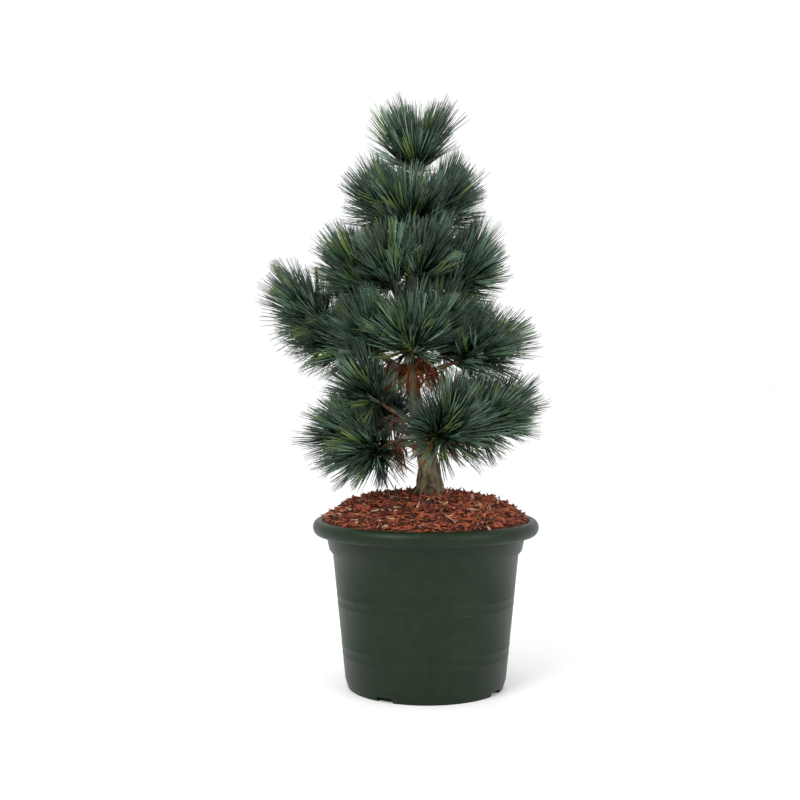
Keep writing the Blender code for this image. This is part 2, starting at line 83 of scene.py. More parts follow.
@dataclass(frozen=True)
class Bough:
    """One bough of a whorl, with lengths in metres and angles in degrees, as the solids state it.

    azimuth runs from +X, the right, towards +Y, the back. pitch is the climb where the bough leaves
    the trunk, and lift is how far it turns up along its limb. A limb of 0 is a mass that grows on the
    trunk. sides holds (share, turn, climb) of each side shoot: how far up the leading shoot it forks
    off, and its direction against the mass's own. spread narrows the fan of the needles.
    """

    name: str
    height: float
    azimuth: float
    pitch: float
    limb: float
    lift: float
    stem: float
    shoot: float
    sides: tuple = ()
    spread: float = 1.0


BOUGHS = (
    Bough("low_right", 0.078, 352, 8, 0.042, 8, 0.010, 0.040,
          ((0.1, 20, 40), (0.3, -34, -20), (0.6, 34, 0))),
    Bough("low_front_right", 0.076, 292, 4, 0.030, 4, 0.010, 0.034,
          ((0.1, 52, -6), (0.3, -50, -8), (0.6, 6, 44))),
    Bough("low_front_left", 0.082, 216, -2, 0.040, -14, 0.010, 0.038,
          ((0.1, -26, -16), (0.3, 36, -10))),
    Bough("low_left", 0.068, 188, 4, 0.044, 4, 0.010, 0.036,
          ((0.1, 16, 34), (0.3, -30, 4), (0.6, 30, -18))),
    Bough("low_left_up", 0.096, 204, 20, 0.040, 12, 0.010, 0.038, ((0.1, -36, 4), (0.4, 40, 8))),
    Bough("low_back_right", 0.076, 50, 4, 0.044, 6, 0.010, 0.040,
          ((0.1, 38, 8), (0.3, -38, -8), (0.6, 6, 36))),
    Bough("low_back_left", 0.080, 126, 4, 0.044, 6, 0.010, 0.040,
          ((0.1, 38, -8), (0.3, -38, 8), (0.6, 6, 36))),
    Bough("far_left", 0.158, 181, 14, 0.060, 20, 0.012, 0.112,
          ((0.1, 16, -30), (0.35, -26, -30), (0.6, 40, -22))),
    Bough("mid_left", 0.166, 212, 22, 0.036, 14, 0.010, 0.036, ((0.1, -36, 10), (0.4, 36, 10))),
    Bough("mid_front", 0.166, 270, 24, 0.028, 16, 0.010, 0.038,
          ((0.1, 56, 2), (0.3, -56, -4), (0.6, 0, 34))),
    Bough("mid_right", 0.166, 350, 10, 0.042, 8, 0.010, 0.044,
          ((0.1, 26, 26), (0.3, -28, -18), (0.6, 14, -10))),
    Bough("mid_right_up", 0.176, 322, 36, 0.028, 14, 0.010, 0.036, ((0.1, 34, -2), (0.4, -30, 6))),
    Bough("mid_back_right", 0.170, 44, 12, 0.042, 10, 0.010, 0.040,
          ((0.1, 36, 6), (0.3, -36, 0), (0.6, 4, 36))),
    Bough("mid_back", 0.178, 94, 14, 0.042, 10, 0.010, 0.040,
          ((0.1, 34, 4), (0.3, -34, 4), (0.6, 2, 36))),
    Bough("mid_back_left", 0.172, 138, 12, 0.042, 10, 0.010, 0.040,
          ((0.1, 34, 2), (0.3, -34, 4), (0.6, 2, 36))),
    Bough("high_left", 0.250, 184, 22, 0.032, 12, 0.010, 0.040,
          ((0.1, 20, -28), (0.3, -30, 18), (0.6, 34, 4))),
    Bough("high_front_left", 0.254, 240, 30, 0.024, 14, 0.010, 0.038,
          ((0.1, -36, 4), (0.4, 32, 10))),
    Bough("high_front", 0.260, 290, 30, 0.024, 14, 0.010, 0.038, ((0.1, -34, 10), (0.4, 36, 2))),
    Bough("high_right", 0.250, 354, 20, 0.036, 12, 0.010, 0.046,
          ((0.1, 26, 6), (0.3, -30, -16), (0.6, 4, 30))),
    Bough("high_back_right", 0.256, 56, 24, 0.032, 12, 0.010, 0.040,
          ((0.1, 38, 6), (0.4, -34, 0))),
    Bough("high_back_left", 0.260, 124, 24, 0.032, 12, 0.010, 0.040,
          ((0.1, 38, 2), (0.4, -34, 6))),
    Bough("top_left", 0.348, 182, 44, 0.0, 0, 0.026, 0.038, ((0.1, 30, -14), (0.4, -34, 16))),
    Bough("top_front", 0.338, 262, 46, 0.0, 0, 0.022, 0.044, ((0.1, 50, -8), (0.4, -46, 4))),
    Bough("top_right", 0.350, 2, 42, 0.0, 0, 0.030, 0.038, ((0.1, -34, -10), (0.4, 30, 18))),
    Bough("top_back_right", 0.352, 62, 42, 0.0, 0, 0.022, 0.038, ((0.1, 34, -8),)),
    Bough("top_back_left", 0.346, 122, 42, 0.0, 0, 0.022, 0.038, ((0.1, -34, -8),)),
    Bough("leader", 0.425, 0, 89, 0.0, 0, 0.010, 0.046,
          ((0.1, 90, -40), (0.2, 210, -40), (0.3, 330, -40)), 0.72),
)

# The trunk from its cut foot to its tip, in metres, with the columns of Station.
TRUNK_STATIONS = (
    (0.000, 0.0055, 0.0000, 0.0235),
    (0.010, 0.0055, 0.0000, 0.0190),
    (0.032, 0.0045, -0.0005, 0.0155),
    (0.060, 0.0010, -0.0015, 0.0130),
    (0.100, -0.0080, -0.0020, 0.0105),
    (0.150, -0.0180, 0.0000, 0.0090),
    (0.240, -0.0235, 0.0030, 0.0072),
    (0.340, -0.0190, 0.0010, 0.0055),
    (0.425, -0.0150, -0.0010, 0.0042),
)


def linear(code: str) -> tuple[float, float, float, float]:
    """Turns an sRGB hex colour to linear, by the standard's straight foot and power curve.

    Args:
        code: The colour as #rrggbb.

    Returns:
        Red, green, blue and alpha, linear.
    """
    parts = [int(code[index : index + 2], 16) / 255 for index in (1, 3, 5)]
    foot, slope, offset, power = 0.04045, 12.92, 0.055, 2.4
    red, green, blue = (
        part / slope if part <= foot else ((part + offset) / (1 + offset)) ** power
        for part in parts
    )
    return (red, green, blue, 1.0)


def add_node(
    tree: bpy.types.NodeTree, kind: str, settings: dict | None = None, links: dict | None = None
) -> bpy.types.Node:
    """Adds one node.

    Args:
        tree: The tree that it joins.
        kind: The node's type name.
        settings: Values by input name, or by attribute name where the node has no such input.
        links: The output socket to link, by input name.

    Returns:
        The new node.
    """
    node = tree.nodes.new(kind)
    for key, value in (settings or {}).items():
        if hasattr(node, key) and key not in node.inputs:
            setattr(node, key, value)
        else:
            node.inputs[key].default_value = value
    for key, socket in (links or {}).items():
        tree.links.new(socket, node.inputs[key])
    return node


def linked(name: str, data: bpy.types.ID) -> bpy.types.Object:
    """Makes an object and links it to the scene.

    Args:
        name: Its name.
        data: Its mesh, lamp or camera.

    Returns:
        The object.
    """
    made = bpy.data.objects.new(name, data)
    bpy.context.scene.collection.objects.link(made)
    return made


def baked(holder: bpy.types.Object, helper: bpy.types.Object) -> bpy.types.Mesh:
    """Turns an object's modifier into plain mesh, and removes the object and what it worked with.

    Args:
        holder: The object with the modifier.
        helper: The cutter or the part that the modifier reads.

    Returns:
        The plain mesh.
    """
    bpy.context.view_layer.update()
    evaluated = holder.evaluated_get(bpy.context.evaluated_depsgraph_get())
    made = bpy.data.meshes.new_from_object(evaluated)
    for thing in (holder, helper):
        bpy.data.objects.remove(thing)
    return made


def turns(count: int) -> list[float]:
    """Lists that many evenly spaced angles round a circle, in radians."""
    return [2 * math.pi * step / count for step in range(count)]


def relief_at(spot: Vector) -> float:
    """Reads the noise behind bark plates and mulch, at a place measured in grains."""
    increment, lacunarity, octaves = 1.0, 2.0, 4
    return noise.fractal(spot, increment, lacunarity, octaves)


def heading(azimuth: float, pitch: float) -> Vector:
    """Gives a direction.

    Args:
        azimuth: Degrees from +X towards +Y.
        pitch: Degrees above the level.

    Returns:
        The unit vector.
    """
    turn, climb = math.radians(azimuth), math.radians(pitch)
    level = math.cos(climb)
    return Vector((math.cos(turn) * level, math.sin(turn) * level, math.sin(climb)))


def rising_line(
    start: Vector, azimuth: float, pitch: float, length: float, lift: float, count: int
) -> Polyline:
    """Walks a line that turns up evenly.

    Args:
        start: Its first point.
        azimuth: Its compass direction in degrees.
        pitch: Its climb at the start.
        length: Its length.
        lift: How far it turns up over that length.
        count: How many points it has.

    Returns:
        The points.
    """
    points = [start.copy()]
    for index in range(count - 1):
        share = (index + 0.5) / (count - 1)
        points.append(points[-1] + heading(azimuth, pitch + lift * share) * length / (count - 1))
    return points


def smooth_value(column: Station, height: float) -> float:
    """Reads a smooth line through the trunk's stations.

    Args:
        column: Which value of a station.
        height: Height above the mulch. Below the foot, the foot's value holds.

    Returns:
        The value there.
    """
    heights = [station[Station.HEIGHT] for station in TRUNK_STATIONS]
    values = [station[column] for station in TRUNK_STATIONS]
    last = len(heights) - 1
    low = max(index for index in range(last) if heights[index] <= height or index == 0)
    high, before, after = low + 1, max(low - 1, 0), min(low + 2, last)
    span = heights[high] - heights[low]
    share = min(max((height - heights[low]) / span, 0.0), 1.0)
    slope_low = (values[high] - values[before]) / (heights[high] - heights[before]) * span
    slope_high = (values[after] - values[low]) / (heights[after] - heights[low]) * span
    square, cube = share * share, share**3
    return (
        (2 * cube - 3 * square + 1) * values[low]
        + (cube - 2 * square + share) * slope_low
        + (3 * square - 2 * cube) * values[high]
        + (cube - square) * slope_high
    )


def trunk_point(height: float) -> Vector:
    """Gives the middle of the trunk at a height above the mulch."""
    lean = [smooth_value(column, height) for column in (Station.LEAN_X, Station.LEAN_Y)]
    return Vector((*lean, SOIL_TOP + GAP + height))


def limb_points(bough: Bough) -> Polyline:
    """Gives the middle line of a bough's limb.

    Args:
        bough: The bough.

    Returns:
        Its points, from inside the trunk to its tip.
    """
    start = trunk_point(bough.height)
    length = smooth_value(Station.RADIUS, bough.height) + bough.limb
    return rising_line(start, bough.azimuth, bough.pitch, length, bough.lift, 3)


def shoots_of(bough: Bough) -> list[Polyline]:
    """Gives a mass's shoots by the rule of the solids.

    Args:
        bough: The bough that carries the mass.

    Returns:
        The stem, the leading shoot, then each side shoot.
    """
    pitch = bough.pitch + bough.lift
    start = limb_points(bough)[-1] if bough.limb else trunk_point(bough.height)
    stem = rising_line(start, bough.azimuth, pitch, bough.stem, 0, 2)
    lead = rising_line(stem[-1], bough.azimuth, pitch, bough.shoot, SHOOT_LIFT, 3)
    lines = [stem, lead]
    length = min(bough.shoot, LONGEST_SIDE_SHOOT)
    for share, turn, climb in bough.sides:
        place = share * (len(lead) - 1)
        fork = lead[int(place)].lerp(lead[int(place) + 1], place - int(place))
        side_pitch = pitch + climb + 0.5 * SHOOT_LIFT
        lines.append(rising_line(fork, bough.azimuth + turn, side_pitch, length, 0, 2))
    return lines


@dataclass(frozen=True)
class Finish:
    """A procedural finish: two colours mixed by noise, which also drives roughness and bump.

    grain_mm is the real size of the grain, which sets the noise. blend says between which of its
    values the colours mix, and relief how high the bump stands against the grain.
    """

    name: str
    dark: str
    light: str
    grain_mm: float
    roughness: tuple[float, float]
    bump: float
    stretch: tuple[float, float, float] = (1.0, 1.0, 1.0)
    coat: float = 0.0
    specular: float = 0.5
    blend: tuple[float, float] = (0.34, 0.68)
    detail: float = 6.0
    relief: float = 0.3

    def material(self) -> bpy.types.Material:
        """Builds the finish.

        Returns:
            The material.
        """
        made = bpy.data.materials.new(self.name)
        made.use_nodes = True
        tree = made.node_tree
        shader = tree.nodes["Principled BSDF"]
        shader.inputs["Coat Weight"].default_value = self.coat
        shader.inputs["Specular IOR Level"].default_value = self.specular
        place = add_node(tree, "ShaderNodeTexCoord")
        turned = add_node(
            tree, "ShaderNodeMapping", {"Scale": self.stretch}, {"Vector": place.outputs["Object"]}
        )
        grain = add_node(
            tree,
            "ShaderNodeTexNoise",
            {"Scale": 1.0 / (self.grain_mm * MM), "Detail": self.detail},
            {"Vector": turned.outputs["Vector"]},
        )
        height = grain.outputs["Fac"]
        ramp = add_node(tree, "ShaderNodeValToRGB", links={"Fac": height})
        for stop, position, colour in zip(
            ramp.color_ramp.elements, self.blend, (self.dark, self.light)
        ):
            stop.position = position
            stop.color = linear(colour)
        rough = add_node(
            tree,
            "ShaderNodeMapRange",
            {"To Min": self.roughness[0], "To Max": self.roughness[1]},
            {"Value": height},
        )
        bump = add_node(
            tree,
            "ShaderNodeBump",
            {"Strength": self.bump, "Distance": self.grain_mm * MM * self.relief},
            {"Height": height},
        )
        tree.links.new(ramp.outputs["Color"], shader.inputs["Base Color"])
        tree.links.new(rough.outputs["Result"], shader.inputs["Roughness"])
        tree.links.new(bump.outputs["Normal"], shader.inputs["Normal"])
        return made


@dataclass(frozen=True)
class NeedleFinish:
    """Waxy needle skin: a plain colour, dealt out by sheaf, with a soft sheen along each needle."""

    tint: Tint
    roughness: float = 0.42

    def material(self) -> bpy.types.Material:
        """Builds the finish.

        Returns:
            The material.
        """
        made = bpy.data.materials.new(f"needle_skin_{self.tint.name.lower()}")
        made.use_nodes = True
        shader = made.node_tree.nodes["Principled BSDF"]
        shader.inputs["Base Color"].default_value = linear(self.tint.value)
        shader.inputs["Roughness"].default_value = self.roughness
        return made


# Injection-moulded polypropylene: a satin skin, faintly mottled, with a soft broad highlight.
POLYPROPYLENE = Finish(
    "moulded_polypropylene", "#0c1c0c", "#10230f", 14.0, (0.34, 0.46), 0.06, specular=0.2
)
# Weathered pine bark: grey-brown plates with dark hollows, longer up the trunk than round it.
PINE_BARK = Finish("pine_bark", "#33291c", "#8a7d5e", 7.0, (0.8, 0.95), 0.9, (1.0, 1.0, 0.4))
# Damp fine mulch: the dark, rough bed that shows between the chips.
MULCH_BED = Finish("mulch_bed", "#2a0f08", "#6e3018", 6.0, (0.85, 1.0), 0.9)
# Shredded pine bark, freshly broken: a dull red-brown that varies from chip to chip.
CHIP_RED = Finish(
    "mulch_chip_red", "#6a2a14", "#a85a38", 5.0, (0.8, 0.95), 0.5, (1.0, 1.0, 0.3)
)
# The same bark, weathered and damp: dark chips that give the heap its depth.
CHIP_DARK = Finish(
    "mulch_chip_dark", "#2c0f08", "#5c2a18", 5.0, (0.8, 0.95), 0.5, (1.0, 1.0, 0.3)
)
# Slivers of bare wood: the few pale flecks in the heap.
CHIP_PALE = Finish(
    "mulch_chip_pale", "#9a7458", "#c8a486", 5.0, (0.75, 0.9), 0.4, (1.0, 1.0, 0.3)
)
# Young shoot bark: smooth and rusty brown, lighter than the needles that it shows between.
SHOOT_BARK = Finish("young_shoot_bark", "#4a2f1c", "#86603a", 2.5, (0.55, 0.75), 0.4)
# Bud scales with a trace of resin: red-brown, with a faint gloss.
BUD_SCALE = Finish("bud_scale", "#6a2c18", "#a05a34", 1.6, (0.4, 0.6), 0.5, coat=0.2)


def new_piece(
    name: str, mesh: bpy.types.Mesh, material: bpy.types.Material
) -> bpy.types.Object:
    """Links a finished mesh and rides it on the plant.

    Args:
        name: The piece's name.
        mesh: Its mesh, in place.
        material: Its material.

    Returns:
        The object.
    """
    mesh.materials.clear()
    mesh.materials.append(material)
    piece = linked(name, mesh)
    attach(piece, "root")
    LOG.info("%s: %d faces", name, len(mesh.polygons))
    return piece


def rings_mesh(name: str, rings: list[list[Vector]], sharp: float = 60.0) -> bpy.types.Mesh:
    """Skins rings of equal count into a closed mesh, with a point in the middle of each end.

    Args:
        name: The mesh's name.
        rings: The rings, in order.
        sharp: Edges over this angle, in degrees, stay sharp.

    Returns:
        The mesh, facing out.
    """
    count = len(rings[0])
    verts = [point for ring in rings for point in ring]
    faces: list[tuple[int, ...]] = []
    for row in range(len(rings) - 1):
        for index in range(count):
            low, after = row * count + index, row * count + (index + 1) % count
            faces.append((low, after, after + count, low + count))
    for row, flip in ((0, True), (len(rings) - 1, False)):
        middle = len(verts)
        verts.append(sum(rings[row], Vector()) / count)
        for index in range(count):
            pair = (row * count + index, row * count + (index + 1) % count)
            faces.append((pair[1], pair[0], middle) if flip else (pair[0], pair[1], middle))
    mesh = bpy.data.meshes.new(name)
    mesh.from_pydata([tuple(point) for point in verts], [], faces)
    shape = bmesh.new()
    shape.from_mesh(mesh)
    bmesh.ops.recalc_face_normals(shape, faces=shape.faces)
    shape.to_mesh(mesh)
    shape.free()
    mesh.shade_smooth()
    mesh.set_sharp_from_angle(angle=math.radians(sharp))
    return mesh


@dataclass(frozen=True)
class Skin:
    """The surface of a limb: points round it, its relief as a share of the radius, and its grain."""

    sides: int
    relief: float
    grain: float


def tube_rings(line: Polyline, radii: Iterable[float], skin: Skin) -> list[list[Vector]]:
    """Makes rings along a line, roughened by noise that is stretched up the plant.

    Args:
        line: The middle line.
        radii: The radius at each point.
        skin: The surface.

    Returns:
        The rings.
    """
    rings = []
    across = (line[1] - line[0]).orthogonal().normalized()
    for index, (place, radius) in enumerate(zip(line, radii)):
        along = (line[min(index + 1, len(line) - 1)] - line[max(index - 1, 0)]).normalized()
        across = (across - along * across.dot(along)).normalized()
        beside = along.cross(across)
        ring = []
        for angle in turns(skin.sides):
            out = across * math.cos(angle) + beside * math.sin(angle)
            spot = (place + out * radius) / skin.grain
            plate = relief_at(Vector((spot.x, spot.y, spot.z * BARK_STRETCH)))
            ring.append(place + out * radius * (1.0 + skin.relief * plate))
        rings.append(ring)
    return rings


def denser(line: Polyline, per_span: int) -> Polyline:
    """Adds points between those of a line.

    Args:
        line: The line.
        per_span: Steps in each span.

    Returns:
        The finer line.
    """
    spans = zip(line, line[1:])
    finer = [low.lerp(high, step / per_span) for low, high in spans for step in range(per_span)]
    return [*finer, line[-1]]


def tapered_limb(
    name: str, line: Polyline, base_mm: float, taper_mm: float, skin: Skin
) -> bpy.types.Mesh:
    """Builds a limb that thins evenly.

    Args:
        name: The mesh's name.
        line: Its middle line.
        base_mm: Its radius at the foot, in millimetres.
        taper_mm: How much it thins up to its tip, in millimetres.
        skin: Its surface.

    Returns:
        The mesh.
    """
    last = len(line) - 1
    radii = [(base_mm - taper_mm * index / last) * MM for index in range(last + 1)]
    return rings_mesh(name, tube_rings(line, radii, skin))


def joined(name: str, meshes: list[bpy.types.Mesh]) -> bpy.types.Mesh:
    """Joins meshes into one.

    Args:
        name: The new mesh's name.
        meshes: The meshes, which are removed.

    Returns:
        The joined mesh.
    """
    shape = bmesh.new()
    for mesh in meshes:
        shape.from_mesh(mesh)
        bpy.data.meshes.remove(mesh)
    whole = bpy.data.meshes.new(name)
    shape.to_mesh(whole)
    shape.free()
    whole.shade_smooth()
    return whole


@dataclass
class Scatter:
    """Copies one small part to many places with Geometry Nodes, and realizes the copies.

    Each copy stands on a point, where its aim, its facing and its size ride as attributes.
    """

    name: str
    part: bpy.types.Mesh
    places: list[Vector] = field(default_factory=list)
    aims: list[Vector] = field(default_factory=list)
    faces: list[Vector] = field(default_factory=list)
    sizes: list[Vector] = field(default_factory=list)

    def add(self, place: Vector, aim: Vector, face: Vector, size: Vector) -> None:
        """Adds one copy.

        Args:
            place: Where it stands.
            aim: Where its Z points.
            face: Where its X turns to.
            size: Its scale along its own axes.
        """
        self.places.append(place)
        self.aims.append(aim)
        self.faces.append(face)
        self.sizes.append(size)

    def tree(self) -> bpy.types.NodeTree:
        """Builds the node tree.

        Returns:
            The tree, with inputs for the part and the material.
        """
        tree = bpy.data.node_groups.new(f"{self.name}_scatter", "GeometryNodeTree")
        for label, way, kind in (
            ("Geometry", "INPUT", "NodeSocketGeometry"),
            ("Part", "INPUT", "NodeSocketObject"),
            ("Material", "INPUT", "NodeSocketMaterial"),
            ("Geometry", "OUTPUT", "NodeSocketGeometry"),
        ):
            tree.interface.new_socket(label, in_out=way, socket_type=kind)
        entry = add_node(tree, "NodeGroupInput")
        vectors = {}
        for label in ("aim", "face", "size"):
            reader = add_node(
                tree,
                "GeometryNodeInputNamedAttribute",
                {"data_type": "FLOAT_VECTOR", "Name": label},
            )
            vectors[label] = reader.outputs["Attribute"]
        upright = add_node(
            tree, "FunctionNodeAlignRotationToVector", {"axis": "Z"}, {"Vector": vectors["aim"]}
        )
        turned = add_node(
            tree,
            "FunctionNodeAlignRotationToVector",
            {"axis": "X", "pivot_axis": "Z"},
            {"Vector": vectors["face"], "Rotation": upright.outputs["Rotation"]},
        )
        info = add_node(tree, "GeometryNodeObjectInfo", links={"Object": entry.outputs["Part"]})
        copies = add_node(
            tree,
            "GeometryNodeInstanceOnPoints",
            links={
                "Points": entry.outputs["Geometry"],
                "Instance": info.outputs["Geometry"],
                "Rotation": turned.outputs["Rotation"],
                "Scale": vectors["size"],
            },
        )
        real = add_node(
            tree, "GeometryNodeRealizeInstances", links={"Geometry": copies.outputs["Instances"]}
        )
        dressed = add_node(
            tree,
            "GeometryNodeSetMaterial",
            links={"Geometry": real.outputs["Geometry"], "Material": entry.outputs["Material"]},
        )
        add_node(tree, "NodeGroupOutput", links={"Geometry": dressed.outputs["Geometry"]})
        return tree

    def mesh(self, material: bpy.types.Material) -> bpy.types.Mesh:
        """Realizes the copies.

        Args:
            material: What Set Material gives them.

        Returns:
            One plain mesh.
        """
        cloud = bpy.data.meshes.new(self.name)
        cloud.from_pydata([tuple(place) for place in self.places], [], [])
        for label, values in (("aim", self.aims), ("face", self.faces), ("size", self.sizes)):
            layer = cloud.attributes.new(label, "FLOAT_VECTOR", "POINT")
            layer.data.foreach_set("vector", np.array(values, dtype=np.float32).ravel())
        part = linked(f"{self.name}_part", self.part)
        holder = linked(f"{self.name}_points", cloud)
        tree = self.tree()
        scatter = holder.modifiers.new("scatter", "NODES")
        scatter.node_group = tree
        sockets = {
            item.name: item.identifier
            for item in tree.interface.items_tree
            if item.in_out == "INPUT"
        }
        scatter[sockets["Part"]] = part
        scatter[sockets["Material"]] = material
        made = baked(holder, part)
        bpy.data.node_groups.remove(tree)
        made.name = self.name
        return made


def needle_part() -> bpy.types.Mesh:
    """Makes one three-sided needle along +Z, bowed along +X by about twice its width.

    Returns:
        The mesh, just under one unit long and one unit in radius.
    """
    bow, sides = 4.0, 3
    # Height, radius and sideways bow: the sheathed root, the middle and the tip.
    stations = ((0.0, 0.9, 0.0), (0.5, 1.0, bow), (0.97, 0.3, 0.0))
    rings = [
        [Vector((shift + radius * math.cos(a), radius * math.sin(a), height)) for a in turns(sides)]
        for height, radius, shift in stations
    ]
    return rings_mesh("needle_part", rings, sharp=180.0)


def chip_part() -> bpy.types.Mesh:
    """Makes one splinter of bark, a flat wedge along +Z.

    Returns:
        The mesh, one unit long, wide and thick.
    """
    corners = ((-1, -1), (1, -1), (1, 1), (-1, 1))
    # Height, half width and half thickness, from the torn end to the thin one.
    stations = ((-0.5, 0.3, 0.3), (-0.15, 0.5, 0.5), (0.2, 0.42, 0.4), (0.5, 0.12, 0.15))
    rings = [
        [Vector((x * wide, y * thick, height)) for x, y in corners]
        for height, wide, thick in stations
    ]
    return rings_mesh("chip_part", rings, sharp=30.0)


class Sheaf(NamedTuple):
    """A sheaf of needles: its root, its aim, the way its shoot runs, and its length."""

    root: Vector
    aim: Vector
    along: Vector
    length: float


@dataclass
class Crown:
    """The boughs' shoots and their needles.

    Angles are in degrees. Sheaves lean out by angle_base at a shoot's foot and by angle_tip at its
    end. overlap is how much nearer to another mass's shoots than to its own a sheaf may come, tested
    at the shares of its length in probes. Needles bulge back down their shoot, and bow_turn is the
    weight of that in the way they face. They are drawn a little thicker than real ones, to show.
    Dead sheaves hang from the boughs that leave the trunk below dead_below.
    """

    sheaf_spacing: float = 0.6 * MM
    needles_in_sheaf: int = 5
    needle_length: float = 72.0 * MM
    needle_radius: float = 0.74 * MM
    angle_base: float = 64.0
    angle_tip: float = 12.0
    jitter: float = 16.0
    upturn: float = 0.16
    sheaf_range: tuple[float, float] = (0.82, 1.04)
    needle_range: tuple[float, float] = (0.9, 1.0)
    sheaf_spread: float = 0.075
    sheath_mm: float = 1.5
    bow_turn: float = 0.8
    overlap: float = 20.0 * MM
    probes: tuple[float, float] = (0.5, 0.9)
    soil_clearance: float = 4 * MM
    most_in_piece: int = 12000
    tint_shares: dict[Tint, int] = field(
        default_factory=lambda: {Tint.DEEP: 42, Tint.BLUE: 34, Tint.GREY: 16, Tint.FRESH: 8}
    )
    dead_sheaves: int = 150
    dead_below: float = 0.18
    dead_spread: float = 0.5
    dead_drop: tuple[float, float] = (-1.0, -0.1)
    dead_range: tuple[float, float] = (0.4, 0.75)
    twig_base_mm: float = 2.9
    twig_taper_mm: float = 1.0
    twig_steps: int = 4
    twig_skin: Skin = Skin(8, 0.14, 3 * MM)
    bud_radii_mm: tuple[float, ...] = (2.2, 3.0, 2.9, 2.2, 1.2, 0.3)
    bud_step_mm: float = 2.2
    bud_skin: Skin = Skin(8, 0.1, 2 * MM)
    shoots: dict[str, list[Polyline]] = field(default_factory=dict)

    def grow(self) -> None:
        """Works out every shoot."""
        self.shoots = {bough.name: shoots_of(bough) for bough in BOUGHS}

    def segments(self) -> tuple[np.ndarray, np.ndarray, np.ndarray]:
        """Lists the segments of all shoots.

        Returns:
            Starts, ends, and the number of the bough that each belongs to.
        """
        rows = [
            (tuple(low), tuple(high), number)
            for number, lines in enumerate(self.shoots.values())
            for line in lines
            for low, high in zip(line, line[1:])
        ]
        return tuple(np.array(column) for column in zip(*rows))

    def own_space(self, roots: np.ndarray, tips: np.ndarray, owners: np.ndarray) -> np.ndarray:
        """Finds the sheaves that keep to their mass's space, but for a fringe where masses mingle.

        Args:
            roots: Where the sheaves start.
            tips: Where they end.
            owners: The number of each sheaf's bough.

        Returns:
            True for each sheaf that stays.
        """
        starts, ends, belong = self.segments()
        along = ends - starts
        keep = np.ones(len(roots), bool)
        for share in self.probes:
            points = roots + (tips - roots) * share
            offset = points[:, None, :] - starts[None]
            part = np.clip((offset * along).sum(2) / (along * along).sum(1), 0, 1)
            apart = np.linalg.norm(offset - part[..., None] * along, axis=2)
            mine = belong[None] == owners[:, None]
            own = np.where(mine, apart, np.inf).min(1)
            other = np.where(mine, np.inf, apart).min(1)
            keep &= own - other < self.overlap
        return keep

    def shoot_sheaves(self, line: Polyline, spread: float, rng: random.Random) -> list[Sheaf]:
        """Deals sheaves up one shoot by the golden spiral.

        Args:
            line: The shoot.
            spread: How wide its bough's needles fan.
            rng: The random source.

        Returns:
            The sheaves, not yet tested against their space.
        """
        length = sum((high - low).length for low, high in zip(line, line[1:]))
        count = round(length / self.sheaf_spacing)
        turn = rng.uniform(0, 2 * math.pi)
        found = []
        for index in range(count + 1):
            share = index / count
            place = share * (len(line) - 1)
            step = min(int(place), len(line) - 2)
            along = (line[step + 1] - line[step]).normalized()
            across = along.orthogonal().normalized()
            spin = turn + index * GOLDEN_ANGLE
            side = across * math.cos(spin) + along.cross(across) * math.sin(spin)
            angle = self.angle_base + (self.angle_tip - self.angle_base) * share
            lean = math.radians(spread * (angle + rng.gauss(0, self.jitter)))
            aim = along * math.cos(lean) + side * math.sin(lean) + Vector((0, 0, self.upturn))
            root = line[step].lerp(line[step + 1], place - step)
            reach = self.needle_length * rng.uniform(*self.sheaf_range)
            found.append(Sheaf(root, aim.normalized(), along, reach))
        return found

    def live_sheaves(self) -> list[Sheaf]:
        """Deals sheaves up every shoot.

        Returns:
            Those that keep to their space and clear of the mulch.
        """
        rng = random.Random(SEED)
        found, owners = [], []
        for number, bough in enumerate(BOUGHS):
            for line in self.shoots[bough.name][1:]:
                dealt = self.shoot_sheaves(line, bough.spread, rng)
                found += dealt
                owners += [number] * len(dealt)
        roots = np.array([tuple(one.root) for one in found])
        tips = np.array([tuple(one.root + one.aim * one.length) for one in found])
        keep = self.own_space(roots, tips, np.array(owners))
        keep &= tips[:, 2] > SOIL_TOP + self.soil_clearance
        return [one for one, stays in zip(found, keep) if stays]

    def dead_sheaf(self, limb: Polyline, rng: random.Random) -> Sheaf:
        """Hangs a sheaf of dead needles from a limb.

        Args:
            limb: The limb.
            rng: The random source.

        Returns:
            The sheaf.
        """
        root = limb[1].lerp(limb[2], rng.random())
        sideways = [rng.uniform(-self.dead_spread, self.dead_spread) for _axis in range(2)]
        aim = Vector((*sideways, rng.uniform(*self.dead_drop))).normalized()
        reach = self.needle_length * rng.uniform(*self.dead_range)
        return Sheaf(root, aim, limb[2] - limb[1], reach)

    def add_sheaf(self, scatter: Scatter, sheaf: Sheaf, rng: random.Random) -> None:
        """Adds the needles of one sheaf.

        Args:
            scatter: What they join.
            sheaf: The sheaf.
            rng: The random source.
        """
        root = sheaf.root + sheaf.aim * self.sheath_mm * MM
        for _needle in range(self.needles_in_sheaf):
            lean = Vector([rng.gauss(0, self.sheaf_spread) for _axis in range(3)])
            way = (sheaf.aim + lean).normalized()
            reach = sheaf.length * rng.uniform(*self.needle_range)
            size = Vector((self.needle_radius, self.needle_radius, reach))
            scatter.add(root, way, (way - sheaf.along * self.bow_turn).normalized(), size)

